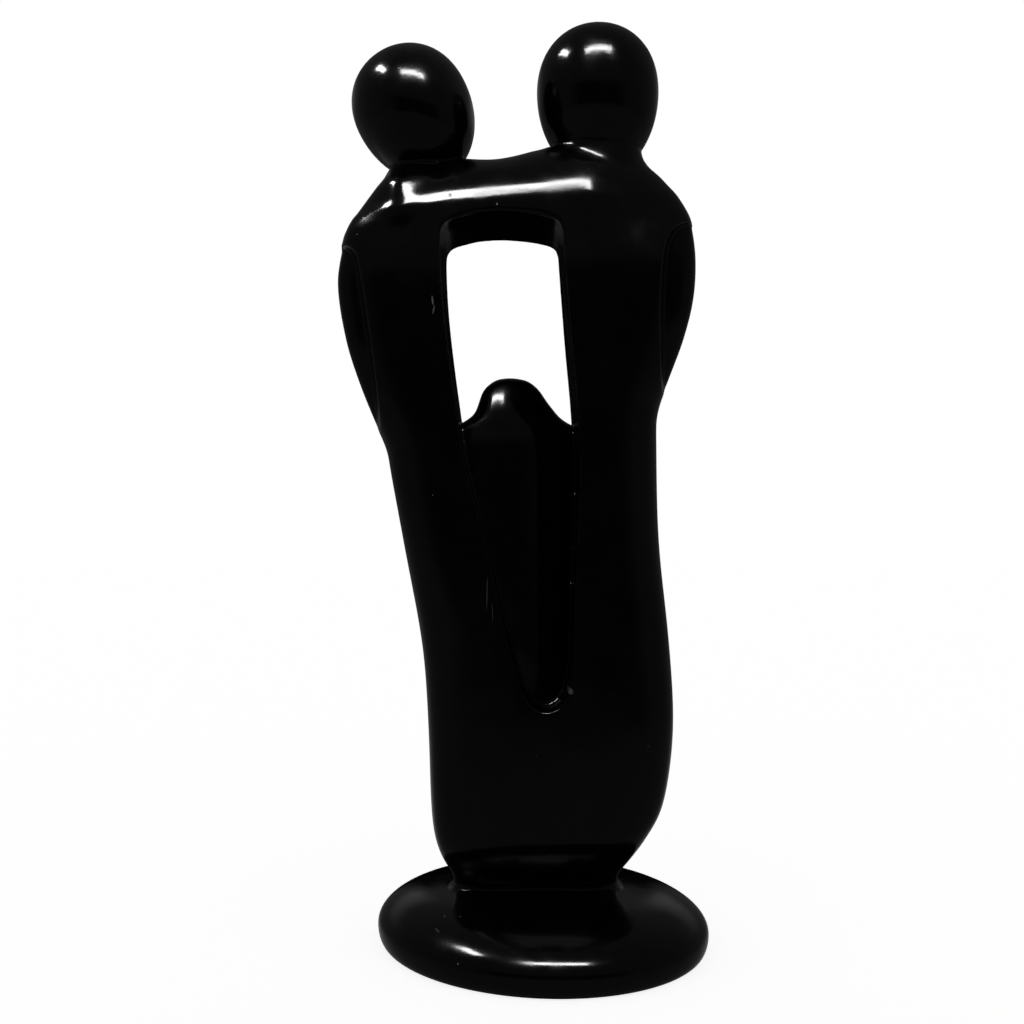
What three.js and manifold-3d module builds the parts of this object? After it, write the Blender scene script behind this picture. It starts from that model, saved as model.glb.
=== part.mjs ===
// A family group carved from one block of soapstone: two parents with smooth egg-shaped heads, joined at the
// shoulders by one broad arm, with a child held in the long opening between them, all on a round foot.
// Millimetres, +Z up, +Y towards the back, origin at the centre of the foot's underside.
import * as THREE from "three";
import { mergeVertices } from "three/addons/utils/BufferGeometryUtils.js";
import Module from "manifold-3d";

const wasm = await Module();
wasm.setup();

// Driving dimensions
const footDiameter = 90.6;
const footThickness = 15.4;
const footOval = { longer: 1.09, turn: -45 };
const halfDepth = 19;
const leftHead = {
  x: -35, y: 2.5, z: 229.1, width: 32.5, depth: 40.5, height: 39.1, lean: 27, back: 0.15,
};
const rightHead = {
  x: 15.8, y: 2.5, z: 232.8, width: 33.7, depth: 34, height: 42.1, lean: 0, back: 0.02,
};
const leftCollar = { x: -32.2, y: 2.5, z: 214.3, radius: 11.7, lean: 8 };
const rightCollar = { x: 15.1, y: 2.5, z: 220.3, radius: 12.7, lean: 3 };
const armReach = 10.5;
const armHalfThickness = 7.6;
const slotCornerRadius = 2.6;
const slotLip = 12;
const slotSlope = 0.2;
const leftSlot = { low: 133, top: 190.6 };
const rightSlot = { low: 143, top: 196.2 };
const childFoot = 58;
const childCrown = 155.3;
const childOval = { longer: 2, turn: 25 };
const throughCut = 90;

// The parents' joint body as ribs from the ankle up. Each rib is level or tilted, and runs from a point on the
// left outline to one on the right: left x, left z, right x, right z, and its depth as a share of halfDepth.
const ribs = [
  [-26, 10, 23, 10, 0.6],
  [-24, 15, 21, 15, 0.57],
  [-24.4, 19, 21.2, 19, 0.63],
  [-27.2, 24.1, 24.6, 24.1, 0.82],
  [-29.3, 30.5, 29, 30.5, 0.96],
  [-30.3, 40, 33.6, 40, 1],
  [-31, 60, 36.1, 60, 1],
  [-32.6, 82, 34.8, 84, 1],
  [-37.2, 107, 32.1, 110, 1],
  [-41.1, 128, 31.5, 136, 1],
  [-42.5, 135.4, 31.9, 145.5, 1],
  [-46.1, 143.6, 35.2, 154.7, 1],
  [-50.5, 154.7, 39.3, 165.8, 1],
  [-53.9, 165.8, 42, 176.9, 1],
  [-56.3, 181, 42.6, 188, 1],
  [-54.7, 191.3, 41.4, 197.3, 0.965],
  [-53.5, 194.9, 39.9, 201.2, 0.958],
  [-52, 197.7, 38.3, 204.1, 0.947],
  [-50.9, 199.1, 37, 206, 0.918],
  [-49.3, 201.4, 35.1, 208.1, 0.874],
  [-47.5, 204, 33.2, 210.3, 0.8],
  [-44.9, 207.5, 30.3, 213, 0.672],
  [-43.2, 210.3, 28.3, 215.8, 0.49],
  [-42.2, 212, 26.8, 217.6, 0.3],
  [-41.6, 212.8, 26, 218.3, 0.15],
];
// Swellings and hollows of the body: the surface at the place moves this far, easing off to nothing at the
// reach
const swellings = [
  { place: [10, 0, 217.5], move: [0, 0, 3], reach: 22 },
  { place: [-30, 0, 213.5], move: [0, 0, 2], reach: 18 },
  { place: [-38.5, -10, 209.5], move: [0, -2.6, 0], reach: 10 },
  { place: [-37.5, -15, 200], move: [0, -0.7, 0], reach: 7 },
  { place: [-29.5, -15, 203], move: [0, 2, 0], reach: 7.5 },
  { place: [30, -11, 205], move: [0, 4.2, 0], reach: 20 },
];
// The crisp edge where each parent's side stands proud of the arm, as [z, x] from the hip up
const creaseLeft = [[136, -42.3], [160, -45.6], [181, -48.8], [186, -49.6], [190, -50.4]];
const creaseRight = [[145.5, 32], [160, 31.9], [176, 32.1], [187, 32.9], [195, 35.2]];
// The long opening between the parents, as [x, z] up its right side, over the top, down the left and round
// the foot
const openingOutline = [
  [9.8, 125], [9.3, 145], [7.4, 167], [5.8, 188], [5.4, 192.5], [4, 195], [0, 196.3], [-5.7, 197.1],
  [-11.5, 197.4], [-17.4, 197], [-21, 196.2], [-24.4, 195.2], [-26.4, 193.7], [-27.2, 190.5], [-26.8, 179],
  [-25.7, 167], [-23.5, 150], [-20.5, 131], [-15.2, 111], [-10.7, 90], [-6.5, 74], [-4.2, 68.8],
  [-0.4, 65.7], [4.2, 66.6], [7.1, 72], [8.3, 82], [8.8, 100],
];

// A number that follows a list of [key, value] pairs on a smooth curve, level past the ends
function follow(pairs) {
  const slope = pairs.map((pair, i) => {
    const before = pairs[Math.max(i - 1, 0)];
    const after = pairs[Math.min(i + 1, pairs.length - 1)];
    return (after[1] - before[1]) / (after[0] - before[0]);
  });
  return (key) => {
    const held = THREE.MathUtils.clamp(key, pairs[0][0], pairs.at(-1)[0]);
    const i = Math.min(pairs.findLastIndex((pair) => pair[0] <= held), pairs.length - 2);
    const span = pairs[i + 1][0] - pairs[i][0];
    const t = (held - pairs[i][0]) / span;
    const start = pairs[i][1] * (1 + 2 * t) * (1 - t) ** 2 + slope[i] * span * t * (1 - t) ** 2;
    return start + pairs[i + 1][1] * t * t * (3 - 2 * t) + slope[i + 1] * span * t * t * (t - 1);
  };
}

// A cylinder whose every point (radius share, angle, height share) goes where place says
function shaped(sides, levels, place) {
  const geometry = new THREE.CylinderGeometry(1, 1, 1, sides, levels).rotateX(Math.PI / 2);
  const position = geometry.getAttribute("position");
  for (let i = 0; i < position.count; i++) {
    const across = Math.hypot(position.getX(i), position.getY(i));
    const angle = Math.atan2(position.getY(i), position.getX(i));
    position.setXYZ(i, ...place(across, angle, position.getZ(i) + 0.5).toArray());
  }
  return geometry;
}

// A point on a rounded oval, squarer the higher the power is
function oval(angle, halfX, halfY, power) {
  const bend = (value) => Math.sign(value) * Math.abs(value) ** (2 / power);
  return new THREE.Vector2(halfX * bend(Math.cos(angle)), halfY * bend(Math.sin(angle)));
}

// The same on a longer oval, turned by degrees and fitted to a box of 2 by 2
function turnedOval({ longer, turn }, power) {
  const centre = new THREE.Vector2();
  const turned = THREE.MathUtils.degToRad(turn);
  const rim = (angle) => oval(angle, longer, 1, power).rotateAround(centre, turned);
  const rims = Array.from({ length: 360 }, (unused, degree) => rim(THREE.MathUtils.degToRad(degree)));
  const box = new THREE.Box2().setFromPoints(rims);
  return (angle) => rim(angle).divide(box.max);
}

function solid(geometry) {
  const bare = geometry.clone();
  bare.deleteAttribute("normal");
  bare.deleteAttribute("uv");
  const merged = mergeVertices(bare, 1e-3);
  const mesh = new wasm.Mesh({
    numProp: 3,
    vertProperties: merged.getAttribute("position").array,
    triVerts: new Uint32Array(merged.index.array),
  });
  return new wasm.Manifold(mesh);
}

// A flat outline in x and z, drawn out along y through the whole figure
function through(outline) {
  const settings = { depth: throughCut, steps: 2, bevelEnabled: false, curveSegments: 5 };
  const block = new THREE.ExtrudeGeometry(outline, settings);
  return block.translate(0, 0, -throughCut / 2).rotateX(Math.PI / 2);
}

function swollen(point) {
  for (const { place, move, reach } of swellings) {
    const near = 1 - Math.min(point.distanceTo(new THREE.Vector3(...place)) / reach, 1);
    point.addScaledVector(new THREE.Vector3(...move), near * near * (3 - 2 * near));
  }
  return point;
}

// The body that both parents share, from the ankle to the line of the shoulders
function jointBody() {
  const ribValue = (column) => follow(ribs.map((rib, i) => [i / (ribs.length - 1), rib[column]]));
  const [leftX, leftZ, rightX, rightZ, depthShare] = ribs[0].map((value, column) => ribValue(column));
  return shaped(44, 42, (across, angle, level) => {
    const squareness = 3.5 - 1.5 * THREE.MathUtils.smoothstep(level, 0.85, 1);
    const rim = oval(angle, 0.5, halfDepth * depthShare(level), squareness);
    const share = 0.5 + rim.x * across;
    const x = THREE.MathUtils.lerp(leftX(level), rightX(level), share);
    const z = THREE.MathUtils.lerp(leftZ(level), rightZ(level), share);
    return swollen(new THREE.Vector3(x, rim.y * across, z));
  });
}

// What is carved away between a parent's side and the arm: all that lies outside the crease. The cut narrows
// inwards from the lip
function sideSlot(crease, side, { low, top }) {
  const edge = follow(crease);
  const outer = side * 75;
  const corner = top - slotCornerRadius;
  const steps = 10;
  const outline = new THREE.Shape();
  outline.moveTo(outer, low);
  for (let i = 0; i <= steps; i++) {
    const z = THREE.MathUtils.lerp(low, corner, i / steps);
    outline.lineTo(edge(z), z);
  }
  outline.quadraticCurveTo(edge(corner), top, edge(corner) + side * slotCornerRadius, top);
  outline.lineTo(outer, top);
  const cut = through(outline);
  const position = cut.getAttribute("position");
  for (let i = 0; i < position.count; i++) {
    const inwards = slotLip - Math.abs(position.getY(i));
    position.setX(i, position.getX(i) + side * slotSlope * inwards);
  }
  return cut;
}

// A parent's outer arm, from inside the shoulder down to the hip, where it thins away
function outerArm(side, { low, top }) {
  const columns = side < 0 ? [1, 0] : [3, 2];
  const outerLine = follow(ribs.map((rib) => columns.map((column) => rib[column])));
  const thickness = follow([[0, 0.3], [0.15, 0.55], [0.35, 0.8], [0.6, 1], [1, 1]]);
  return shaped(18, 16, (across, angle, level) => {
    const z = THREE.MathUtils.lerp(low, top + 9, level);
    const rim = oval(angle, armReach, armHalfThickness * thickness(level), 3);
    return new THREE.Vector3(outerLine(z) - side * armReach + rim.x * across, rim.y * across, z);
  });
}

function opening() {
  const curve = new THREE.SplineCurve(openingOutline.map(([x, z]) => new THREE.Vector2(x, z)));
  curve.points.push(curve.points[0].clone());
  return through(new THREE.Shape(curve.getPoints(66)));
}

// The child: a bell with a round head, its left side forward, its shoulders and sides sunk into the parents
function child() {
  const halfWidth = follow([
    [0, 17], [0.72, 19], [0.82, 19], [0.855, 17.6], [0.875, 14.2], [0.893, 11.9], [0.927, 9.8], [0.961, 8],
    [0.98, 6.3], [0.995, 3.8], [1, 1],
  ]);
  const depth = follow([
    [0, 9.5], [0.45, 11.5], [0.8, 11.6], [0.86, 10.9], [0.9, 9.9], [0.92, 9.1], [0.94, 8.2], [0.961, 7],
    [0.98, 5.4], [0.995, 3.2], [1, 1],
  ]);
  const middle = follow([[0, -1], [0.4, -4], [0.75, -6], [0.893, -6.7], [0.95, -7.8], [1, -8]]);
  const height = follow([[0, 0], [0.2, 0.4], [0.4, 0.76], [0.7, 0.92], [0.9, 0.985], [1, 1]]);
  const plan = turnedOval(childOval, 2.15);
  return shaped(26, 20, (across, angle, level) => {
    const share = height(level);
    const rim = plan(angle).multiplyScalar(across);
    const z = THREE.MathUtils.lerp(childFoot, childCrown, share);
    return new THREE.Vector3(middle(share) + rim.x * halfWidth(share), rim.y * depth(share), z);
  });
}

function leanAndPlace(geometry, { x, y, z, lean }) {
  return geometry.rotateY(THREE.MathUtils.degToRad(-lean)).translate(x, y, z);
}

// A plain egg with its narrow end down, its crown a little back, leaning to the left by lean degrees
function head(spec) {
  const steps = 17;
  const taper = 0.09;
  const power = 2.1;
  const profile = [];
  for (let i = 0; i <= steps; i++) {
    const rise = -Math.cos((Math.PI * i) / steps);
    const swell = (1 + taper * rise) * (1 - Math.abs(rise) ** power) ** (1 / power);
    profile.push(new THREE.Vector2((spec.width / 2) * swell, (spec.height / 2) * rise));
  }
  const egg = new THREE.LatheGeometry(profile, 26).rotateX(Math.PI / 2).scale(1, spec.depth / spec.width, 1);
  const position = egg.getAttribute("position");
  for (let i = 0; i < position.count; i++) {
    position.setY(i, position.getY(i) + spec.back * position.getZ(i));
  }
  return leanAndPlace(egg, spec);
}

// The low roll of stone that a head sits in
function collar(spec) {
  const profile = [
    [spec.radius, 8], [spec.radius, 3], [0.4, 1.6], [0.8, 0.5], [1.8, 0], [spec.radius, 0],
  ].map(([inwards, down], i) => new THREE.Vector2(i ? spec.radius - inwards : 0, -down));
  return leanAndPlace(new THREE.LatheGeometry(profile, 26).rotateX(Math.PI / 2), spec);
}

// The foot: a thick disc, a little out of round, whose edge rolls over into a slightly domed top
function foot() {
  const radius = footDiameter / 2;
  const widest = 5;
  const underRoll = 2.3;
  const overRoll = 25;
  const dome = 0.8;
  const under = new THREE.EllipseCurve(radius - underRoll, widest, underRoll, widest, -Math.PI / 2, 0);
  const rise = footThickness - widest;
  const over = new THREE.EllipseCurve(radius - overRoll, widest, overRoll, rise, 0, Math.PI / 2);
  const profile = [new THREE.Vector2(0, 0), ...under.getPoints(4), ...over.getPoints(8).slice(1)];
  profile.push(new THREE.Vector2(0, footThickness + dome));
  const disc = new THREE.LatheGeometry(profile, 52).rotateX(Math.PI / 2);
  const plan = turnedOval(footOval, 2);
  const position = disc.getAttribute("position");
  for (let i = 0; i < position.count; i++) {
    const out = Math.hypot(position.getX(i), position.getY(i));
    const rim = plan(Math.atan2(position.getY(i), position.getX(i))).multiplyScalar(out);
    position.setXY(i, rim.x, rim.y);
  }
  return disc;
}

const parents = solid(jointBody())
  .subtract(solid(sideSlot(creaseLeft, -1, leftSlot)))
  .subtract(solid(sideSlot(creaseRight, 1, rightSlot)))
  .add(solid(outerArm(-1, leftSlot)))
  .add(solid(outerArm(1, rightSlot)))
  .subtract(solid(opening()));
const carving = parents
  .add(solid(child()))
  .add(solid(collar(leftCollar)))
  .add(solid(collar(rightCollar)))
  .add(solid(head(leftHead)))
  .add(solid(head(rightHead)))
  .add(solid(foot()))
  .getMesh();

const carvingGeometry = new THREE.BufferGeometry()
  .setAttribute("position", new THREE.BufferAttribute(carving.vertProperties, 3))
  .setIndex(new THREE.BufferAttribute(carving.triVerts, 1));
carvingGeometry.computeVertexNormals();

const blackSoapstone = new THREE.MeshStandardMaterial({ color: 0x0b0b0c, roughness: 0.2, metalness: 0 });
const familyCarving = new THREE.Mesh(carvingGeometry, blackSoapstone);
familyCarving.name = "family_carving";

const sculpture = new THREE.Group();
sculpture.add(familyCarving);

export default sculpture;
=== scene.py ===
# A family group in black soapstone: two parents joined at the shoulders by one broad arm, with a child in the
# long opening between them, all on a round foot. Metres, +Z up, +Y towards the back.
import math

import bmesh
import bpy
import numpy as np
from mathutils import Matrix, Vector


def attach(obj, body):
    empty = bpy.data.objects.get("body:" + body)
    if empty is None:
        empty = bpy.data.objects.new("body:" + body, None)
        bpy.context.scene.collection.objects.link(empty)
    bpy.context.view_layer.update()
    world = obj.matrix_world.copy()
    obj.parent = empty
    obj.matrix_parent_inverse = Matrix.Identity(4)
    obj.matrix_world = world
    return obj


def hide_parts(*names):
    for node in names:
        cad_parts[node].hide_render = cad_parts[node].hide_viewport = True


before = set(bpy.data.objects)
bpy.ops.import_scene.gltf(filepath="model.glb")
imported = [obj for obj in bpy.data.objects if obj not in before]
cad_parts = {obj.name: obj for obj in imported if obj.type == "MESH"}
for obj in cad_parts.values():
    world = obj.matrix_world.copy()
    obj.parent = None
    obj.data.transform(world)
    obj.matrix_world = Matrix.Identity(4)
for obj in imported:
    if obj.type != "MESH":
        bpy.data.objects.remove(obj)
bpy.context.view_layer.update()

mm = 0.001


# General tools

def deselectAll():
    if bpy.context.object and bpy.context.object.mode != "OBJECT":
        bpy.ops.object.mode_set(mode="OBJECT")
    bpy.ops.object.select_all(action="DESELECT")


def pick(*pieces):
    deselectAll()
    for piece in pieces:
        piece.select_set(True)
    bpy.context.view_layer.objects.active = pieces[0]


def applyModifier(piece, kind, **settings):
    modifier = piece.modifiers.new(kind.lower(), kind)
    for name, value in settings.items():
        setattr(modifier, name, value)
    pick(piece)
    bpy.ops.object.modifier_apply(modifier=modifier.name)


def linear(hexColour):
    # an sRGB hex value as the linear colour that a shader takes
    parts = [int(hexColour[i:i + 2], 16) / 255 for i in (1, 3, 5)]
    return [c / 12.92 if c <= 0.04045 else ((c + 0.055) / 1.055) ** 2.4 for c in parts] + [1]


def follow(pairs):
    # a number that follows [key, value] pairs on a smooth curve, level past the ends
    slopes = []
    for i in range(len(pairs)):
        before, after = pairs[max(i - 1, 0)], pairs[min(i + 1, len(pairs) - 1)]
        slopes.append((after[1] - before[1]) / (after[0] - before[0]))

    def value(key):
        held = min(max(key, pairs[0][0]), pairs[-1][0])
        i = max(k for k in range(len(pairs) - 1) if pairs[k][0] <= held)
        span = pairs[i + 1][0] - pairs[i][0]
        t = (held - pairs[i][0]) / span
        start = pairs[i][1] * (1 + 2 * t) * (1 - t) ** 2 + slopes[i] * span * t * (1 - t) ** 2
        return start + pairs[i + 1][1] * t * t * (3 - 2 * t) + slopes[i + 1] * span * t * t * (t - 1)
    return value


def smoothPath(points, closed, steps):
    # points on one smooth curve through the given ones
    count = len(points)
    path = []
    for i in range(count if closed else count - 1):
        p0, p1, p2, p3 = (
            Vector(points[k % count] if closed else points[min(max(k, 0), count - 1)])
            for k in (i - 1, i, i + 1, i + 2)
        )
        for step in range(steps):
            t = step / steps
            path.append(p1 + (p2 - p0) * t / 2 + (p0 * 2 - p1 * 5 + p2 * 4 - p3) * t * t / 2
                        + (p1 * 3 - p0 - p2 * 3 + p3) * t ** 3 / 2)
    return path if closed else path + [Vector(points[-1])]


# Rings: each rounded form is one outline drawn up through a list of sections, as a carver thinks of slices

def startRing(name, sides, power, longer=1, turn=0):
    # a flat square whose corners are rounded until they meet, squarer the higher the power is; 2 gives a
    # circle. It can be made longer than wide and turned by degrees, counter-clockwise from above
    deselectAll()
    bpy.ops.mesh.primitive_plane_add(size=1)
    piece = bpy.context.object
    piece.name = name
    bpy.ops.object.mode_set(mode="EDIT")
    bpy.ops.mesh.bevel(offset_type="PERCENT", offset_pct=50, segments=sides // 4, profile=2 ** (-2 / power),
                       affect="VERTICES")
    bpy.ops.mesh.remove_doubles(threshold=1e-4)
    bpy.ops.transform.resize(value=(longer, 1, 1), center_override=(0, 0, 0))
    bpy.ops.transform.rotate(value=-math.radians(turn), orient_axis="Z", center_override=(0, 0, 0))
    return piece


def ringSpan(piece, axis):
    # how wide the picked outline is along one axis, in metres
    found = [v.co[axis] for v in bmesh.from_edit_mesh(piece.data).verts if v.select]
    return max(found) - min(found)


def sweepRings(piece, sections):
    # each section gives the middle, width, depth, tilt and roundness of the outline there, in millimetres
    middle, tilt, roundness = Vector((0, 0, 0)), 0, 0
    for i, section in enumerate(sections):
        if i:
            bpy.ops.mesh.extrude_region_move()
        bpy.ops.transform.rotate(value=-tilt, orient_axis="Y", center_override=middle)
        wanted = section.get("round", 0)
        if wanted > roundness:
            flat = (1 / ringSpan(piece, 0), 1 / ringSpan(piece, 1), 1)
            bpy.ops.transform.resize(value=flat, center_override=middle)
            bpy.ops.transform.tosphere(value=(wanted - roundness) / (1 - roundness), center_override=middle)
            roundness = wanted
        grow = (section["width"] * mm / ringSpan(piece, 0), section["depth"] * mm / ringSpan(piece, 1), 1)
        bpy.ops.transform.resize(value=grow, center_override=middle)
        tilt = section.get("tilt", 0)
        bpy.ops.transform.rotate(value=tilt, orient_axis="Y", center_override=middle)
        place = Vector(section["middle"]) * mm
        bpy.ops.transform.translate(value=place - middle)
        middle = place
    bpy.ops.mesh.select_all(action="SELECT")
    bpy.ops.mesh.normals_make_consistent(inside=False)
    bpy.ops.object.mode_set(mode="OBJECT")


slabHalfDepth = 45               # further than the body reaches to the front or the back


def slab(name, outline):
    # a flat outline in x and z, drawn out along y through the whole figure
    curve = bpy.data.curves.new(name, "CURVE")
    curve.dimensions = "2D"
    curve.fill_mode = "BOTH"
    curve.extrude = slabHalfDepth * mm
    spline = curve.splines.new("POLY")
    spline.points.add(len(outline) - 1)
    for point, (x, z) in zip(spline.points, outline):
        point.co = (x * mm, z * mm, 0, 1)
    spline.use_cyclic_u = True
    piece = bpy.data.objects.new(name, curve)
    bpy.context.collection.objects.link(piece)
    piece.rotation_euler.x = math.pi / 2
    pick(piece)
    bpy.ops.object.convert(target="MESH")
    bpy.ops.object.transform_apply(location=False, rotation=True, scale=False)
    bpy.ops.object.mode_set(mode="EDIT")
    bpy.ops.mesh.select_all(action="SELECT")
    bpy.ops.mesh.remove_doubles(threshold=1e-6)
    bpy.ops.mesh.normals_make_consistent(inside=False)
    bpy.ops.object.mode_set(mode="OBJECT")
    return piece


def places(piece):
    # where every vertex is, in millimetres
    flat = np.empty(len(piece.data.vertices) * 3)
    piece.data.vertices.foreach_get("co", flat)
    return flat.reshape(-1, 3) / mm


def pickVertices(piece, chosen):
    pick(piece)
    bpy.ops.object.mode_set(mode="EDIT")
    bpy.ops.mesh.select_mode(type="VERT")
    bpy.ops.mesh.select_all(action="DESELECT")
    bpy.ops.object.mode_set(mode="OBJECT")
    piece.data.vertices.foreach_set("select", chosen)
    bpy.ops.object.mode_set(mode="EDIT")


def soften(piece, zones):
    # strokes of smoothing inside boxes, each given by its lowest and highest corner
    for zone in zones:
        where = places(piece)
        pickVertices(piece, ((where > zone["low"]) & (where < zone["high"])).all(axis=1))
        bpy.ops.mesh.vertices_smooth(factor=0.5, repeat=zone["strokes"])
        bpy.ops.object.mode_set(mode="OBJECT")


grip = 0.4                       # how much further away than the nearest vertex others are held with it


def pull(piece, strokes):
    # the nearest spot is moved and drags the stone around it along
    for stroke in strokes:
        away = np.linalg.norm(places(piece) - stroke["place"], axis=1)
        pickVertices(piece, away < away.min() + grip)
        bpy.ops.transform.translate(value=Vector(stroke["move"]) * mm,
                                    use_proportional_edit=True, proportional_edit_falloff="SMOOTH",
                                    proportional_size=stroke["reach"] * mm)
        bpy.ops.object.mode_set(mode="OBJECT")


def cutAway(piece, tool):
    applyModifier(piece, "BOOLEAN", operation="DIFFERENCE", solver="EXACT", object=tool)
    bpy.data.objects.remove(tool)


# The parents' joint body, millimetres. A rib runs from the left outline to the right one: left x, left z,
# right x, right z, and depth as a share of halfDepth
body = {
    "halfDepth": 19,
    "power": 3.5,            # how square the body is in plan
    "sides": 48,
    "levels": 72,
    "ribs": [
        (-26, 10, 23, 10, 0.5), (-24, 15, 21, 15, 0.47), (-24.4, 19, 21.2, 19, 0.53),
        (-27.2, 24.1, 24.6, 24.1, 0.79), (-29.3, 30.5, 29, 30.5, 0.96), (-30.3, 40, 33.6, 40, 1),
        (-31, 60, 36.1, 60, 1), (-32.6, 82, 34.8, 84, 1), (-37.2, 107, 32.1, 110, 1),
        (-41.1, 128, 31.5, 136, 1), (-42.5, 135.4, 31.9, 145.5, 1), (-46.1, 143.6, 35.2, 154.7, 1),
        (-50.5, 154.7, 39.3, 165.8, 1), (-53.9, 165.8, 42, 176.9, 1), (-56.15, 181, 42.6, 188, 1),
        (-54.7, 191.3, 41.4, 197.3, 0.965), (-53.5, 194.9, 39.9, 201.2, 0.958),
        (-52, 197.7, 38.3, 204.1, 0.947), (-50.9, 199.1, 37, 206, 0.918), (-49.3, 201.4, 35.1, 208.1, 0.874),
        (-47.5, 204, 33.2, 210.3, 0.8), (-44.9, 207.5, 30.3, 213, 0.672), (-43.2, 210.3, 28.3, 215.8, 0.49),
        (-42.2, 212, 26.8, 217.6, 0.3), (-41.6, 212.8, 26, 218.3, 0.15),
    ],
    "round": [[0, 0], [0.85, 0], [0.95, 0.6], [1, 1]],       # from square to round under the necks
    "pulls": [
        # the shoulders rise to the necks
        {"place": (10, 0, 217.5), "move": (0, 0, 3), "reach": 22},
        {"place": (-30, 0, 213.5), "move": (0, 0, 2), "reach": 18},
        # a ridge runs down the left shoulder, and the stone outside it falls away
        {"place": (-38.5, -10, 209.5), "move": (0, -2.6, 0), "reach": 10},
        {"place": (-37.5, -15, 200), "move": (0, -0.7, 0), "reach": 7},
        {"place": (-46, -10, 200), "move": (0, 1.2, 0), "reach": 7},
        # the right shoulder falls back
        {"place": (30, -11, 205), "move": (0, 4.2, 0), "reach": 20},
    ],
}
# What is carved away outside each parent's side, up to an edge as (x, z) from the hip to the hook at the top
slots = {
    "left": {
        "low": 133,
        "outer": -75,
        "edge": [(-42.3, 136), (-45.6, 160), (-48.8, 181), (-49.6, 186), (-50.9, 188.7), (-53, 190.2),
                 (-57, 190.6)],
    },
    "right": {
        "low": 143,
        "outer": 75,
        "edge": [(32, 145.5), (31.9, 160), (32.1, 176), (32.9, 187), (34, 192), (36.2, 195.2), (38.6, 196.6),
                 (41, 195.8), (42.6, 193.4), (46, 192)],
    },
    "lip": 12,                   # the edges are drawn at this distance in front of and behind the middle,
    "slope": 0.2,                # and the cut narrows by this much for each millimetre nearer to it
    "steps": 6,                  # from one point of an edge to the next
}
arm = {
    "reach": 10.5,               # half its width
    "halfThickness": 7.6,
    "thin": [[0, 0.3], [0.15, 0.55], [0.35, 0.8], [0.6, 1], [1, 1]],     # thickness from hip to shoulder
    "above": 9,                  # how far it runs up inside the shoulder
    "levels": 30,
    "sides": 32,
    "power": 3,                  # flat in front with rounded sides
}
# The long opening between the parents, as (x, z) up its right side, over the top, down the left and round
# the foot
opening = {
    "outline": [
        (9.8, 125), (9.3, 145), (7.4, 167), (5.8, 188), (5.4, 192.5), (4, 195), (0, 196.3), (-5.7, 197.1),
        (-11.5, 197.4), (-17.4, 197), (-21, 196.2), (-24.4, 195.2), (-26.4, 193.7), (-27.2, 190.5),
        (-26.8, 179), (-25.7, 167), (-23.5, 150), (-20.5, 131), (-15.2, 111), (-10.7, 90), (-6.5, 74),
        (-4.2, 68.8), (-0.4, 65.7), (4.2, 66.6), (7.1, 72), (8.3, 82), (8.8, 100),
    ],
    "steps": 6,                  # from one point of the outline to the next
    "pinch": 0.3,                # how far its walls swell inwards half way through
    "loops": (-12, -6, 0, 6, 12),
    "catch": 0.2,                # a vertex nearer than this to a loop belongs to it
}


def makeBody():
    ribs = body["ribs"]
    column = [follow([[i / (len(ribs) - 1), rib[c]] for i, rib in enumerate(ribs)]) for c in range(5)]
    roundness = follow(body["round"])
    sections = []
    for i in range(body["levels"] + 1):
        level = i / body["levels"]
        leftX, leftZ, rightX, rightZ, share = (value(level) for value in column)
        sections.append({
            "middle": ((leftX + rightX) / 2, 0, (leftZ + rightZ) / 2),
            "width": math.hypot(rightX - leftX, rightZ - leftZ),
            "depth": 2 * body["halfDepth"] * share,
            "tilt": math.atan2(rightZ - leftZ, rightX - leftX),
            "round": roundness(level),
        })
    piece = startRing("body", body["sides"], body["power"])
    sweepRings(piece, sections)
    applyModifier(piece, "SUBSURF", levels=2, render_levels=2)
    pull(piece, body["pulls"])
    return piece


def makeArm(side):
    slot = slots[side]
    outwards = -1 if side == "left" else 1
    xColumn, zColumn = (0, 1) if side == "left" else (2, 3)
    outerLine = follow([[rib[zColumn], rib[xColumn]] for rib in body["ribs"]])
    thin = follow(arm["thin"])
    top = slot["edge"][-1][1] + arm["above"]
    sections = []
    for i in range(arm["levels"] + 1):
        level = i / arm["levels"]
        z = slot["low"] + (top - slot["low"]) * level
        sections.append({
            "middle": (outerLine(z) - outwards * arm["reach"], 0, z),
            "width": 2 * arm["reach"],
            "depth": 2 * arm["halfThickness"] * thin(level),
        })
    piece = startRing("arm", arm["sides"], arm["power"])
    sweepRings(piece, sections)
    applyModifier(piece, "SUBSURF", levels=1, render_levels=1)
    return piece


def slotCutter(side):
    slot = slots[side]
    outwards = -1 if side == "left" else 1
    path = smoothPath(slot["edge"], closed=False, steps=slots["steps"])
    first, last = path[0], path[-1]
    outline = [(slot["outer"], slot["low"]), (first.x, slot["low"])] + [tuple(p) for p in path]
    piece = slab("slot", outline + [(slot["outer"], last.y)])
    bpy.ops.object.mode_set(mode="EDIT")
    bpy.ops.mesh.select_all(action="SELECT")
    bpy.ops.mesh.bisect(plane_co=(0, 0, 0), plane_no=(0, 1, 0))
    bpy.ops.object.mode_set(mode="OBJECT")
    for v in piece.data.vertices:
        v.co.x += outwards * slots["slope"] * (slots["lip"] * mm - abs(v.co.y))
    return piece


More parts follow.
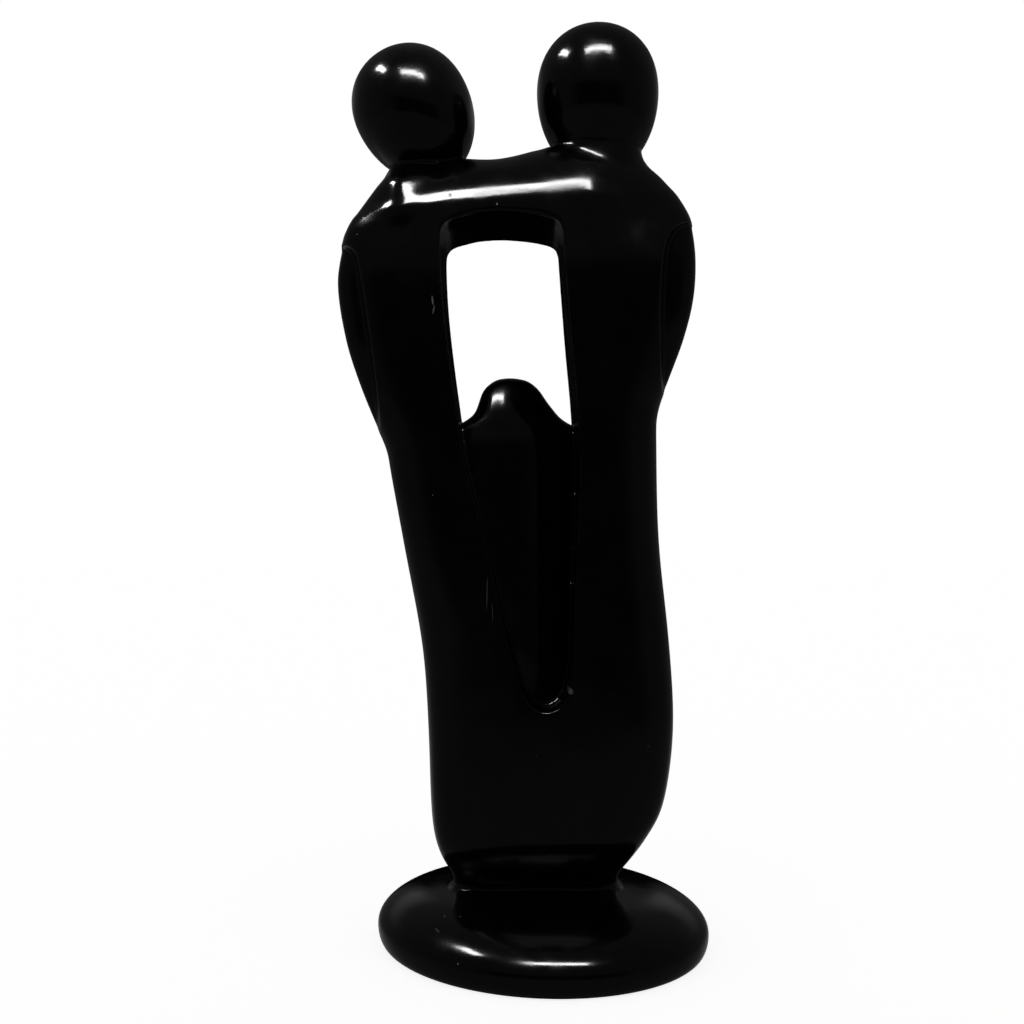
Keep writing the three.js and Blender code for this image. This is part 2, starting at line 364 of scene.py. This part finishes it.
def openingCutter():
    path = smoothPath(opening["outline"], closed=True, steps=opening["steps"])
    piece = slab("opening", [tuple(p) for p in path])
    bpy.ops.object.mode_set(mode="EDIT")
    for y in opening["loops"]:
        bpy.ops.mesh.select_all(action="SELECT")
        bpy.ops.mesh.bisect(plane_co=(0, y * mm, 0), plane_no=(0, 1, 0))
    for y in opening["loops"]:
        bpy.ops.mesh.select_all(action="DESELECT")
        for v in bmesh.from_edit_mesh(piece.data).verts:
            v.select = abs(v.co.y - y * mm) < opening["catch"] * mm
        swell = opening["pinch"] * (1 - (y / body["halfDepth"]) ** 2)
        bpy.ops.transform.shrink_fatten(value=-swell * mm)
    bpy.ops.object.mode_set(mode="OBJECT")
    return piece


# The child: a bell with a round head. Half its width, half its depth and the x of its middle go by share of
# its height
child = {
    "foot": 58,
    "crown": 155.3,
    "halfWidth": [[0, 17], [0.72, 19], [0.82, 19], [0.855, 17.6], [0.875, 14.2], [0.893, 11.9], [0.927, 9.8],
                  [0.961, 8], [0.98, 6.3], [0.995, 3.8], [1, 1]],
    "halfDepth": [[0, 9.5], [0.45, 11.5], [0.8, 11.6], [0.86, 10.9], [0.9, 9.9], [0.92, 9.1], [0.94, 8.2],
                  [0.961, 7], [0.98, 5.4], [0.995, 3.2], [1, 1]],
    "middle": [[0, -1], [0.4, -4], [0.75, -6], [0.893, -6.7], [0.95, -7.8], [1, -8]],
    "height": [[0, 0], [0.2, 0.4], [0.4, 0.76], [0.7, 0.92], [0.9, 0.985], [1, 1]],      # of the levels
    "levels": 44,
    "sides": 40,
    "power": 2.15,
    "longer": 2,                 # the plan is an oval, turned so that the left side stands further forward
    "turn": 25,
}


def makeChild():
    halfWidth, halfDepth = follow(child["halfWidth"]), follow(child["halfDepth"])
    middle, height = follow(child["middle"]), follow(child["height"])
    sections = []
    for i in range(child["levels"] + 1):
        share = height(i / child["levels"])
        sections.append({
            "middle": (middle(share), 0, child["foot"] + (child["crown"] - child["foot"]) * share),
            "width": 2 * halfWidth(share),
            "depth": 2 * halfDepth(share),
        })
    piece = startRing("child", child["sides"], child["power"], child["longer"], child["turn"])
    sweepRings(piece, sections)
    applyModifier(piece, "SUBSURF", levels=1, render_levels=1)
    return piece


# The heads: plain eggs with the narrow end down, tilted by lean degrees, each in a low roll of stone. Back is
# how far the top lies behind the foot, as a share of the height
heads = {
    "left": {
        "x": -35, "y": 2.5, "z": 229.1, "width": 32.5, "depth": 40.5, "height": 39.1,
        "lean": 27, "back": 0.15,
    },
    "right": {
        "x": 15.8, "y": 2.5, "z": 232.8, "width": 33.7, "depth": 34, "height": 42.1,
        "lean": 0, "back": 0.02,
    },
}
egg = {"power": 2.1, "taper": 0.09, "levels": 36, "sides": 64, "cap": 0.2}       # cap: the pole's share
collars = {
    "left": {"x": -32.2, "y": 2.5, "z": 214.3, "radius": 11.7, "lean": 8},
    "right": {"x": 15.1, "y": 2.5, "z": 220.3, "radius": 12.7, "lean": 3},
}
# (added to the radius, height), from inside the shoulder up to the head
collarProfile = [(0.4, -8), (0.3, -5), (0.1, -3), (0, -1.6), (-0.25, -0.8), (-0.8, -0.25), (-1.5, 0),
                 (-5, 0.1)]
collarSides = 96


def turnedForm(name, sides, rings, deeper=1, back=0, longer=1, turn=0):
    # a round form from (radius, height) rings, oval where it is deeper than wide, its top further back
    piece = startRing(name, sides, 2, longer, turn)
    sweepRings(piece, [{"middle": (0, back * up, up), "width": 2 * out, "depth": 2 * out * deeper}
                       for out, up in rings])
    return piece


def leanAndPlace(piece, spec):
    pick(piece)
    bpy.ops.object.mode_set(mode="EDIT")
    bpy.ops.mesh.select_all(action="SELECT")
    bpy.ops.transform.rotate(value=math.radians(spec["lean"]), orient_axis="Y", center_override=(0, 0, 0))
    bpy.ops.transform.translate(value=(spec["x"] * mm, spec["y"] * mm, spec["z"] * mm))
    bpy.ops.object.mode_set(mode="OBJECT")


def makeHead(spec):
    rings = []
    for i in range(egg["levels"] + 1):
        rise = -math.cos(math.pi * (egg["cap"] + i) / (2 * egg["cap"] + egg["levels"]))
        swell = (1 + egg["taper"] * rise) * (1 - abs(rise) ** egg["power"]) ** (1 / egg["power"])
        rings.append((spec["width"] / 2 * swell, spec["height"] / 2 * rise))
    piece = turnedForm("head", egg["sides"], rings, spec["depth"] / spec["width"], spec["back"])
    leanAndPlace(piece, spec)
    return piece


def makeCollar(spec):
    piece = turnedForm("collar", collarSides, [(spec["radius"] + out, up) for out, up in collarProfile])
    leanAndPlace(piece, spec)
    return piece


# The foot: a puck whose edge rolls over into a slightly domed top
foot = {
    "radius": 45.3,
    "thickness": 15.4,
    "widest": 5,                 # the height at which it is widest
    "under": 2.3,                # how far the edge rolls in below that,
    "over": 25,                  # and above it
    "dome": 0.8,
    "flat": 12,                  # the ring of the underside beside the edge
    "longer": 1.09, "turn": -45,         # a little out of round
    "underSteps": 8, "overSteps": 24, "domeSteps": 9,
    "sides": 160,
}


def makeFoot():
    radius, widest = foot["radius"], foot["widest"]
    under, over = foot["under"], foot["over"]
    rings = [(radius - under - foot["flat"], 0), (radius - under, 0)]
    for i in range(1, foot["underSteps"] + 1):
        turn = math.pi / 2 * i / foot["underSteps"]
        rings.append((radius - under + under * math.sin(turn), widest * (1 - math.cos(turn))))
    for i in range(1, foot["overSteps"] + 1):
        turn = math.pi / 2 * i / foot["overSteps"]
        height = widest + (foot["thickness"] - widest) * math.sin(turn)
        rings.append((radius - over + over * math.cos(turn), height))
    for i in range(1, foot["domeSteps"]):
        share = i / foot["domeSteps"]
        height = foot["thickness"] + foot["dome"] * math.sin(math.pi / 2 * share)
        rings.append(((radius - over) * (1 - share), height))
    return turnedForm("foot", foot["sides"], rings, longer=foot["longer"], turn=foot["turn"])


# One stone: everything is fused, then rubbed smooth
stone = {
    "voxel": 0.5,
    "rubs": 5,                   # rounds of smoothing all over
    "triangles": 190000,
    "soft": [
        # the roots of the necks, then the front of the shoulders
        {"low": (-50, -22, 207), "high": (-14, 22, 213), "strokes": 40},
        {"low": (-2, -22, 212), "high": (34, 22, 218.2), "strokes": 40},
        {"low": (-48, -22, 196), "high": (22, -8, 209), "strokes": 8},
        # the front, the sides and the back of the ankle
        {"low": (-18, -16, 14.2), "high": (15, -8, 19), "strokes": 10},
        {"low": (-33, -12, 14.6), "high": (-17, 12, 21), "strokes": 30},
        {"low": (14, -12, 14.6), "high": (30, 12, 21), "strokes": 30},
        {"low": (-33, 5, 14.6), "high": (30, 28, 21), "strokes": 30},
    ],
}


def makeCarving():
    piece = makeBody()
    for side in ("left", "right"):
        cutAway(piece, slotCutter(side))
    cutAway(piece, openingCutter())
    print("body cut, polygons", len(piece.data.polygons))
    others = [makeChild(), makeFoot()]
    others += [makeArm(side) for side in ("left", "right")]
    others += [makeHead(spec) for spec in heads.values()]
    others += [makeCollar(spec) for spec in collars.values()]
    pick(piece, *others)
    bpy.ops.object.join()
    piece.name = "familyCarving"
    piece.data.remesh_voxel_size = stone["voxel"] * mm
    bpy.ops.object.voxel_remesh()
    print("remeshed, polygons", len(piece.data.polygons))
    applyModifier(piece, "SMOOTH", factor=0.5, iterations=stone["rubs"])
    soften(piece, stone["soft"])
    triangles = sum(len(p.vertices) - 2 for p in piece.data.polygons)
    applyModifier(piece, "DECIMATE", ratio=stone["triangles"] / triangles)
    pick(piece)
    bpy.ops.object.shade_smooth()
    print("carving, triangles", len(piece.data.polygons))
    return piece


# Materials

def addNode(owner, kind, inputs=None, **attributes):
    # one node with its settings, its values and its links: an input is a number, a colour or another socket
    tree = owner.node_tree
    node = tree.nodes.new(kind)
    for name, value in attributes.items():
        setattr(node, name, value)
    for name, value in (inputs or {}).items():
        if isinstance(name, int):
            socket = node.inputs[name]
        else:
            socket = next(found for found in node.inputs if found.name == name and found.enabled)
        if isinstance(value, bpy.types.NodeSocket):
            tree.links.new(value, socket)
        else:
            socket.default_value = value
    return node


# Black soapstone. The sizes and heights of its patterns are in millimetres, and an edge gives the two values
# of a pattern between which it sets in
grain = {
    "dyed": "#050506",
    "thinDye": "#0c0b0b",                    # where the dye took less well
    "bare": "#9a958d",                       # the grey stone itself, in marks that went through the dye
    "wax": 1.5,                              # index of refraction
    "buffed": 0.115, "lessBuffed": 0.18, "matt": 0.5,        # roughness: two polishes, and a mark
    "cloud": 13, "cloudEdge": (0.45, 0.7),
    "rub": 10, "rubEdge": (0.4, 0.68),       # patches buffed more and less
    "wave": 17, "waveHeight": 0.14,          # the surface rubbed down by hand is never quite even
    "tooth": 0.8, "toothHeight": 0.004,      # fine grit marks under the wax
    "scratch": (0.5, 0.5, 32), "scratchEdge": (0.73, 0.8), "scratchDepth": 0.004,
    "pit": 7, "pitEdge": (0.03, 0.055), "pitDepth": 0.12, "pitClosing": 0.1, "pitBare": 0.25,
    "markEdge": (0.6, 1), "markHalfDepth": 9,
}
# Single marks: middle, half width and half length in the face, lean in degrees and how bare the mark is
marks = [
    # a nick on the left arm
    {"place": (-28.9, -17, 173.8), "half": (0.28, 1.5), "lean": -6, "bare": 1},
    {"place": (-28.6, -17, 171.4), "half": (0.24, 1.4), "lean": 12, "bare": 0.8},
    # rubs on the left parent
    {"place": (-14.6, -19, 97), "half": (0.16, 5.2), "lean": 1, "bare": 0.3},
    {"place": (-13.2, -19, 92), "half": (0.14, 3.1), "lean": -3, "bare": 0.22},
    # pits on the shoulders and on the left head
    {"place": (-24.4, -17, 201.8), "half": (0.45, 0.5), "lean": 0, "bare": 0.35},
    {"place": (-12, -18, 199.4), "half": (0.4, 0.4), "lean": 0, "bare": 0.3},
    {"place": (-37.8, -17, 235.5), "half": (0.35, 0.45), "lean": 0, "bare": 0.35},
    # the broken point of the opening
    {"place": (7.2, -17, 71.4), "half": (0.8, 1.2), "lean": -35, "bare": 0.5},
    # specks on the foot
    {"place": (-25.6, -28, 13.4), "half": (0.4, 0.35), "lean": 0, "bare": 0.5},
    {"place": (-27.2, -29, 11.4), "half": (0.8, 0.25), "lean": 15, "bare": 0.35},
]


def makeBlackSoapstone():
    # nearly black, lit by its reflections alone: softly clouded, with buffed and duller patches
    material = bpy.data.materials.new("soapstone, dyed black, waxed and buffed")
    material.use_nodes = True
    tree = material.node_tree
    shader = tree.nodes["Principled BSDF"]
    place = addNode(material, "ShaderNodeTexCoord").outputs["Object"]
    cloud = addNode(material, "ShaderNodeTexNoise",
                    {"Vector": place, "Scale": 1 / (grain["cloud"] * mm), "Detail": 4, "Roughness": 0.6})
    thin = addNode(material, "ShaderNodeMapRange",
                   {"Value": cloud.outputs["Fac"],
                    "From Min": grain["cloudEdge"][0], "From Max": grain["cloudEdge"][1]},
                   interpolation_type="SMOOTHSTEP").outputs["Result"]
    rub = addNode(material, "ShaderNodeTexNoise",
                  {"Vector": place, "Scale": 1 / (grain["rub"] * mm), "Detail": 3, "Distortion": 0.6})
    dull = addNode(material, "ShaderNodeMapRange",
                   {"Value": rub.outputs["Fac"],
                    "From Min": grain["rubEdge"][0], "From Max": grain["rubEdge"][1],
                    "To Min": grain["buffed"], "To Max": grain["lessBuffed"]},
                   interpolation_type="SMOOTHSTEP").outputs["Result"]
    # fine upright scratches, only here and there
    drawn = addNode(material, "ShaderNodeMapping",
                    {"Vector": place, "Scale": [1 / (part * mm) for part in grain["scratch"]]})
    lines = addNode(material, "ShaderNodeTexNoise",
                    {"Vector": drawn.outputs["Vector"], "Scale": 1, "Detail": 0})
    scratch = addNode(material, "ShaderNodeMapRange",
                      {"Value": lines.outputs["Fac"],
                       "From Min": grain["scratchEdge"][0], "From Max": grain["scratchEdge"][1]},
                      interpolation_type="SMOOTHSTEP").outputs["Result"]
    # pits: a small hole in some of the cells, the smaller the lower its cell's number is
    cells = addNode(material, "ShaderNodeTexVoronoi", {"Vector": place, "Scale": 1 / (grain["pit"] * mm)})
    number = addNode(material, "ShaderNodeSeparateColor", {"Color": cells.outputs["Color"]}).outputs["Red"]
    closed = addNode(material, "ShaderNodeMath",
                     {0: number, 1: -grain["pitClosing"], 2: grain["pitClosing"]},
                     operation="MULTIPLY_ADD").outputs[0]
    away = addNode(material, "ShaderNodeMath", {0: cells.outputs["Distance"], 1: closed},
                   operation="ADD").outputs[0]
    pit = addNode(material, "ShaderNodeMapRange",
                  {"Value": away, "From Min": grain["pitEdge"][0], "From Max": grain["pitEdge"][1],
                   "To Min": 1, "To Max": 0},
                  interpolation_type="SMOOTHSTEP").outputs["Result"]
    bare = addNode(material, "ShaderNodeMath", {0: pit, 1: grain["pitBare"]},
                   operation="MULTIPLY").outputs[0]
    for mark in marks:
        width, length = mark["half"]
        inside = addNode(material, "ShaderNodeMapping",
                         {"Vector": place, "Location": [part * mm for part in mark["place"]],
                          "Rotation": (0, math.radians(mark["lean"]), 0),
                          "Scale": (width * mm, grain["markHalfDepth"] * mm, length * mm)},
                         vector_type="TEXTURE").outputs["Vector"]
        reach = addNode(material, "ShaderNodeVectorMath", {0: inside}, operation="LENGTH").outputs["Value"]
        here = addNode(material, "ShaderNodeMapRange",
                       {"Value": reach, "From Min": grain["markEdge"][0], "From Max": grain["markEdge"][1],
                        "To Min": mark["bare"], "To Max": 0},
                       interpolation_type="SMOOTHSTEP").outputs["Result"]
        bare = addNode(material, "ShaderNodeMath", {0: bare, 1: here}, operation="MAXIMUM").outputs[0]
    dye = addNode(material, "ShaderNodeMix",
                  {"Factor": thin, "A": linear(grain["dyed"]), "B": linear(grain["thinDye"])},
                  data_type="RGBA")
    colour = addNode(material, "ShaderNodeMix",
                     {"Factor": bare, "A": dye.outputs["Result"], "B": linear(grain["bare"])},
                     data_type="RGBA")
    roughness = addNode(material, "ShaderNodeMapRange",
                        {"Value": bare, "To Min": dull, "To Max": grain["matt"]})
    # the surface itself: wide waves, then the fine grit, then scratches and pits
    wave = addNode(material, "ShaderNodeTexNoise",
                   {"Vector": place, "Scale": 1 / (grain["wave"] * mm), "Detail": 1})
    tooth = addNode(material, "ShaderNodeTexNoise",
                    {"Vector": place, "Scale": 1 / (grain["tooth"] * mm), "Detail": 2})
    hole = addNode(material, "ShaderNodeMath", {0: bare, 1: pit}, operation="MAXIMUM").outputs[0]
    normal = None
    for height, depth, inwards in ((wave.outputs["Fac"], "waveHeight", False),
                                   (tooth.outputs["Fac"], "toothHeight", False),
                                   (scratch, "scratchDepth", True),
                                   (hole, "pitDepth", True)):
        values = {"Height": height, "Distance": grain[depth] * mm}
        if normal:
            values["Normal"] = normal
        normal = addNode(material, "ShaderNodeBump", values, invert=inwards).outputs["Normal"]
    tree.links.new(colour.outputs["Result"], shader.inputs["Base Color"])
    tree.links.new(roughness.outputs["Result"], shader.inputs["Roughness"])
    tree.links.new(normal, shader.inputs["Normal"])
    shader.inputs["IOR"].default_value = grain["wax"]
    return material


# Studio: a pale floor, one wide soft light over the front and a narrow one at the left. A place in the room
# is given by its turn, from 0 on the camera's side to 1 straight behind the carving, or by how far it rises
studio = {
    "floorSize": 6,
    "floorColour": "#f4f4f2",
    "floorRoughness": 0.9,
    "floorGlow": 0.86,           # the photographer's white board throws back more light than it gets here
    "daylight": 0.15,            # what a matt surface gets from all round
    "room": [(0, 0.012), (0.1, 0.013), (0.22, 0.05), (1, 0.05)],         # brightness by turn
    # straight behind it is dark, and less so higher up
    "back": {"level": 0.001, "higher": 0.06, "edge": (0.982, 0.993), "rise": (0.22, 0.32)},
    "ceiling": 0.05,
    "ceilingEdge": (0.19, 0.25),
    "board": 0.06,
    "boardEdge": (-0.175, -0.155),
    # the white walls behind, seen above and below eye level: by turn, and their strength by (rise + 1) / 2
    "walls": [(0.76, 0), (0.82, 0.02), (0.864, 0.05), (0.894, 0.09), (0.924, 0.14), (0.954, 0.2), (1, 0.35)],
    "wallHeights": [(0, 0), (0.3, 0.5), (0.38, 0.7), (0.41, 0.3), (0.43, 0.1), (0.46, 0), (0.585, 0),
                    (0.61, 0.2), (0.64, 0.45), (0.68, 0.42), (0.72, 0)],
    "lightBounces": 2.5,         # the lights are seen up to this many bounces of a ray
    "wide": {"place": (0.007, -0.436, 0.872), "size": (0.54, 0.12), "aim": (0, 0, 0.2), "radiance": 28},
    "narrow": {"place": (-0.535, -0.02, 0.796), "size": (0.26, 0.09), "aim": (0, 0, 0.2), "radiance": 28},
}
cameraSpec = {"place": (-0.00806, -0.35, 0.1183), "lens": 44.44, "sensor": 36}


def makeLight(name, spec):
    light = bpy.data.lights.new(name, "AREA")
    light.shape = "RECTANGLE"
    light.size, light.size_y = spec["size"]
    light.energy = spec["radiance"] * math.pi * light.size * light.size_y
    lamp = bpy.data.objects.new(name, light)
    lamp.location = spec["place"]
    towards = Vector(spec["aim"]) - Vector(spec["place"])
    lamp.rotation_euler = towards.to_track_quat("-Z", "Y").to_euler()
    # seen in the first reflections only, so that the stone doesn't throw it back and forth
    light.use_nodes = True
    deep = addNode(light, "ShaderNodeLightPath").outputs["Ray Depth"]
    once = addNode(light, "ShaderNodeMath", {0: deep, 1: studio["lightBounces"]},
                   operation="LESS_THAN").outputs[0]
    light.node_tree.links.new(once, light.node_tree.nodes["Emission"].inputs["Strength"])
    lamp.visible_diffuse = False
    bpy.context.collection.objects.link(lamp)


def makeFloor():
    deselectAll()
    bpy.ops.mesh.primitive_plane_add(size=studio["floorSize"], location=(0, 0, 0))
    floor = bpy.context.object
    floor.name = "floor"
    # flat and evenly white, with no gloss at all
    material = bpy.data.materials.new("matt painted board")
    material.use_nodes = True
    shader = material.node_tree.nodes["Principled BSDF"]
    shader.inputs["Base Color"].default_value = linear(studio["floorColour"])
    shader.inputs["Roughness"].default_value = studio["floorRoughness"]
    shader.inputs["Specular IOR Level"].default_value = 0
    shader.inputs["Emission Color"].default_value = (1, 1, 1, 1)
    shader.inputs["Emission Strength"].default_value = studio["floorGlow"]
    floor.data.materials.append(material)
    floor.visible_glossy = False
    floor.visible_diffuse = False


def makeRoom():
    world = bpy.data.worlds.new("studio")
    bpy.context.scene.world = world
    world.use_nodes = True
    nodes, links = world.node_tree.nodes, world.node_tree.links
    direction = addNode(world, "ShaderNodeTexCoord").outputs["Generated"]
    parts = addNode(world, "ShaderNodeSeparateXYZ", {"Vector": direction}).outputs
    level = addNode(world, "ShaderNodeCombineXYZ", {"X": parts["X"], "Y": parts["Y"]}).outputs[0]
    flat = addNode(world, "ShaderNodeVectorMath", {0: level}, operation="NORMALIZE").outputs[0]
    turn = addNode(world, "ShaderNodeSeparateXYZ", {"Vector": flat}).outputs["Y"]
    share = addNode(world, "ShaderNodeMapRange", {"Value": turn, "From Min": -1}).outputs["Result"]
    rise = addNode(world, "ShaderNodeMapRange", {"Value": parts["Z"], "From Min": -1}).outputs["Result"]
    glows = {}
    for name, key in (("room", share), ("walls", share), ("wallHeights", rise)):
        ramp = addNode(world, "ShaderNodeValToRGB", {"Fac": key})
        stops = ramp.color_ramp.elements
        for place, glow in studio[name][1:-1]:
            stops.new(place)
        for stop, (place, glow) in zip(stops, studio[name]):
            stop.position = place
            stop.color = (glow, glow, glow, 1)
        glows[name] = ramp.outputs["Color"]
    # the ceiling above the room and the board below it
    above = addNode(world, "ShaderNodeMapRange",
                    {"Value": parts["Z"],
                     "From Min": studio["ceilingEdge"][0], "From Max": studio["ceilingEdge"][1]},
                    interpolation_type="SMOOTHSTEP").outputs["Result"]
    room = addNode(world, "ShaderNodeMix",
                   {"Factor": above, "A": glows["room"], "B": (*[studio["ceiling"]] * 3, 1)},
                   data_type="RGBA")
    below = addNode(world, "ShaderNodeMapRange",
                    {"Value": parts["Z"],
                     "From Min": studio["boardEdge"][0], "From Max": studio["boardEdge"][1],
                     "To Min": 1, "To Max": 0}, interpolation_type="SMOOTHSTEP").outputs["Result"]
    seen = addNode(world, "ShaderNodeMix",
                   {"Factor": below, "A": room.outputs["Result"], "B": (*[studio["board"]] * 3, 1)},
                   data_type="RGBA")
    walls = addNode(world, "ShaderNodeMath", {0: glows["walls"], 1: glows["wallHeights"]},
                    operation="MULTIPLY").outputs[0]
    seen = addNode(world, "ShaderNodeMix", {"Factor": 1, "A": seen.outputs["Result"], "B": walls},
                   data_type="RGBA", blend_type="ADD")
    back = studio["back"]
    depth = addNode(world, "ShaderNodeMapRange",
                    {"Value": parts["Z"], "From Min": back["rise"][0], "From Max": back["rise"][1],
                     "To Min": back["level"], "To Max": back["higher"]},
                    interpolation_type="SMOOTHSTEP").outputs["Result"]
    behind = addNode(world, "ShaderNodeMapRange",
                     {"Value": share, "From Min": back["edge"][0], "From Max": back["edge"][1]},
                     interpolation_type="SMOOTHSTEP").outputs["Result"]
    seen = addNode(world, "ShaderNodeMix", {"Factor": behind, "A": seen.outputs["Result"], "B": depth},
                   data_type="RGBA")
    path = addNode(world, "ShaderNodeLightPath").outputs
    # the camera sees a white backdrop, gloss sees the room and matt surfaces get an even daylight
    matt = addNode(world, "ShaderNodeMix",
                   {"Factor": path["Is Camera Ray"], "A": (*[studio["daylight"]] * 3, 1), "B": (1, 1, 1, 1)},
                   data_type="RGBA")
    whole = addNode(world, "ShaderNodeMix",
                    {"Factor": path["Is Glossy Ray"],
                     "A": matt.outputs["Result"], "B": seen.outputs["Result"]},
                    data_type="RGBA")
    links.new(whole.outputs["Result"], nodes["Background"].inputs["Color"])


def makeStudio():
    makeFloor()
    makeLight("wideLight", studio["wide"])
    makeLight("narrowLight", studio["narrow"])
    makeRoom()


def makeCamera():
    camera = bpy.data.cameras.new("camera")
    camera.lens = cameraSpec["lens"]
    camera.sensor_width = cameraSpec["sensor"]
    eye = bpy.data.objects.new("camera", camera)
    eye.location = cameraSpec["place"]
    eye.rotation_euler = (math.pi / 2, 0, 0)
    bpy.context.collection.objects.link(eye)
    bpy.context.scene.camera = eye
    bpy.context.scene.view_settings.view_transform = "Standard"


makeCamera()
makeStudio()
print("camera and studio set up")
carving = makeCarving()
carving.data.materials.clear()
carving.data.materials.append(makeBlackSoapstone())
print("stone's material made")
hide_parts("family_carving")
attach(carving, "root")
